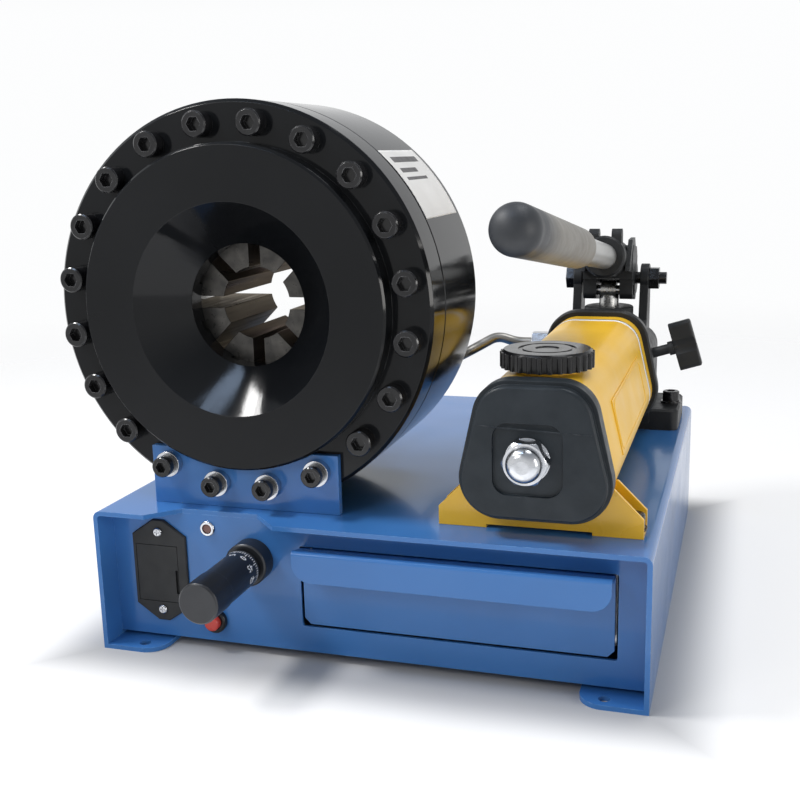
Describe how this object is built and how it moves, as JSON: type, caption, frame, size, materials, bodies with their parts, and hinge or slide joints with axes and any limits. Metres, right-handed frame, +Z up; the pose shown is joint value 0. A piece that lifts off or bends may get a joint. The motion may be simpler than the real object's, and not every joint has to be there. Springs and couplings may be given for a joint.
{
  "type": "hose crimping machine",
  "caption": "Bench hose crimper: ring-cylinder head with eight wedge dies on a folded base, hand lever pump, tool drawer and diameter gauge.",
  "frame": {"origin": "centre of the four bench bolt holes, on the plane the feet rest on", "axes": "+X to the pump side, -Y towards the operator and out of the die mouth, +Z up"},
  "size_m": [0.3912, 0.434, 0.346],
  "materials": {
    "blue_paint": "gloss powder coat",
    "head_black": "gloss black enamel",
    "bolt_black": "black oxide",
    "die_steel": "browned tool steel, satin",
    "ground_steel": "ground steel",
    "zinc": "bright zinc plate",
    "tank_yellow": "semi-gloss yellow",
    "bracket_yellow": "yellow paint",
    "black_plastic": "matte moulded",
    "cast_black": "black painted casting",
    "grip_grey": "soft grey sleeve",
    "lens_red": "clear red-brown lens",
    "switch_red": "red moulded",
    "seal_black": "nitrile",
    "battery_case": "plain printed can",
    "tube_steel": "drawn steel tube"
  },
  "bodies": {
    "root": {"base_wrap": "blue_paint", "front_panel": "blue_paint", "rear_panel": "blue_paint", "support_plate": "blue_paint", "support_spacers": "zinc", "support_bolts": "bolt_black", "front_cover": "head_black", "cylinder_body": "head_black", "cover_bolts": "bolt_black", "rod_seal": "seal_black", "drawer_runners": "zinc", "battery_housing": "black_plastic", "battery_screws": "zinc", "indicator_bezel": "zinc", "indicator_lens": "lens_red", "micrometer_sleeve": "black_plastic", "switch_body": "black_plastic", "pump_head": "cast_black", "gland_nut": "cast_black", "side_links": "cast_black", "pivot_bolt": "bolt_black", "pivot_nut": "bolt_black", "reservoir": "tank_yellow", "reservoir_end_cap": "black_plastic", "tie_rod": "ground_steel", "acorn_nut": "zinc", "filler_gasket": "seal_black", "pump_foot_bracket": "bracket_yellow", "front_foot_bolts": "bolt_black", "rear_foot_bolts": "bolt_black", "head_port_fitting": "zinc", "pump_port_fitting": "zinc", "hydraulic_tube": "tube_steel"},
    "ring": {"ring_piston": "ground_steel", "piston_seal": "seal_black"},
    "drawer": {"drawer_front": "blue_paint", "drawer_tray": "blue_paint"},
    "battery_drawer": {"battery_tray": "black_plastic", "battery": "battery_case"},
    "spindle": {"micrometer_spindle": "ground_steel"},
    "thimble": {"micrometer_thimble": "black_plastic"},
    "button": {"switch_cap": "switch_red"},
    "lever": {"handle_block": "cast_black", "handle_tube": "ground_steel", "handle_grip": "grip_grey"},
    "plunger": {"pump_piston": "ground_steel", "piston_pin": "ground_steel"},
    "release": {"release_knob": "black_plastic"},
    "filler": {"filler_cap": "black_plastic"},
    "die_1": {"master_die_1": "die_steel"},
    "die_2": {"master_die_2": "die_steel"},
    "die_3": {"master_die_3": "die_steel"},
    "die_4": {"master_die_4": "die_steel"},
    "die_5": {"master_die_5": "die_steel"},
    "die_6": {"master_die_6": "die_steel"},
    "die_7": {"master_die_7": "die_steel"},
    "die_8": {"master_die_8": "die_steel"}
  },
  "joints": [
    {"name": "ring_piston_slide", "type": "slide", "parent": "root", "child": "ring", "axis": [0, -1, 0], "range_m": [0, 0.016]},
    {"name": "die_1_slide", "type": "slide", "parent": "root", "child": "die_1", "axis": [-0.9239, 0, -0.3827], "range_m": [0, 0.00756]},
    {"name": "die_2_slide", "type": "slide", "parent": "root", "child": "die_2", "axis": [-0.3827, 0, -0.9239], "range_m": [0, 0.00756]},
    {"name": "die_3_slide", "type": "slide", "parent": "root", "child": "die_3", "axis": [0.3827, 0, -0.9239], "range_m": [0, 0.00756]},
    {"name": "die_4_slide", "type": "slide", "parent": "root", "child": "die_4", "axis": [0.9239, 0, -0.3827], "range_m": [0, 0.00756]},
    {"name": "die_5_slide", "type": "slide", "parent": "root", "child": "die_5", "axis": [0.9239, 0, 0.3827], "range_m": [0, 0.00756]},
    {"name": "die_6_slide", "type": "slide", "parent": "root", "child": "die_6", "axis": [0.3827, 0, 0.9239], "range_m": [0, 0.00756]},
    {"name": "die_7_slide", "type": "slide", "parent": "root", "child": "die_7", "axis": [-0.3827, 0, 0.9239], "range_m": [0, 0.00756]},
    {"name": "die_8_slide", "type": "slide", "parent": "root", "child": "die_8", "axis": [-0.9239, 0, 0.3827], "range_m": [0, 0.00756]},
    {"name": "drawer_slide", "type": "slide", "parent": "root", "child": "drawer", "axis": [0, -1, 0], "range_m": [0, 0.16]},
    {"name": "battery_tray_slide", "type": "slide", "parent": "root", "child": "battery_drawer", "axis": [0, -1, 0], "range_m": [0, 0.045]},
    {"name": "spindle_feed", "type": "slide", "parent": "root", "child": "spindle", "axis": [0, -1, 0], "range_m": [-0.001, 0.002]},
    {"name": "thimble_turn", "type": "hinge", "parent": "spindle", "child": "thimble", "pos_m": [-0.073, -0.2, 0.064], "axis": [0, -1, 0], "range_deg": [-721, 1441]},
    {"name": "button_press", "type": "slide", "parent": "root", "child": "button", "axis": [0, 1, 0], "range_m": [0, 0.0025], "stiffness_N_per_m": 400},
    {"name": "lever_hinge", "type": "hinge", "parent": "root", "child": "lever", "pos_m": [0.107, 0.1775, 0.205], "axis": [-1, 0, 0], "range_deg": [-7, 35]},
    {"name": "plunger_slide", "type": "slide", "parent": "root", "child": "plunger", "axis": [0, 0, 1], "range_m": [-0.003, 0.013]},
    {"name": "release_turn", "type": "hinge", "parent": "root", "child": "release", "pos_m": [0.147, 0.1175, 0.152], "axis": [0.9563, 0, 0.2924], "range_deg": [0, 270]},
    {"name": "filler_cap_turn", "type": "hinge", "parent": "root", "child": "filler", "pos_m": [0.107, -0.1335, 0.19], "axis": [0, 0, 1], "range_deg": [0, 720]}
  ],
  "couplings": [
    {"joint": "die_1_slide", "follows": "ring_piston_slide", "ratio": 0.46631},
    {"joint": "die_2_slide", "follows": "ring_piston_slide", "ratio": 0.46631},
    {"joint": "die_3_slide", "follows": "ring_piston_slide", "ratio": 0.46631},
    {"joint": "die_4_slide", "follows": "ring_piston_slide", "ratio": 0.46631},
    {"joint": "die_5_slide", "follows": "ring_piston_slide", "ratio": 0.46631},
    {"joint": "die_6_slide", "follows": "ring_piston_slide", "ratio": 0.46631},
    {"joint": "die_7_slide", "follows": "ring_piston_slide", "ratio": 0.46631},
    {"joint": "die_8_slide", "follows": "ring_piston_slide", "ratio": 0.46631},
    {"joint": "thimble_turn", "follows": "spindle_feed", "rad_per_m": 0.00007958},
    {"joint": "plunger_slide", "follows": "lever_hinge", "m_per_rad": 0.02}
  ]
}
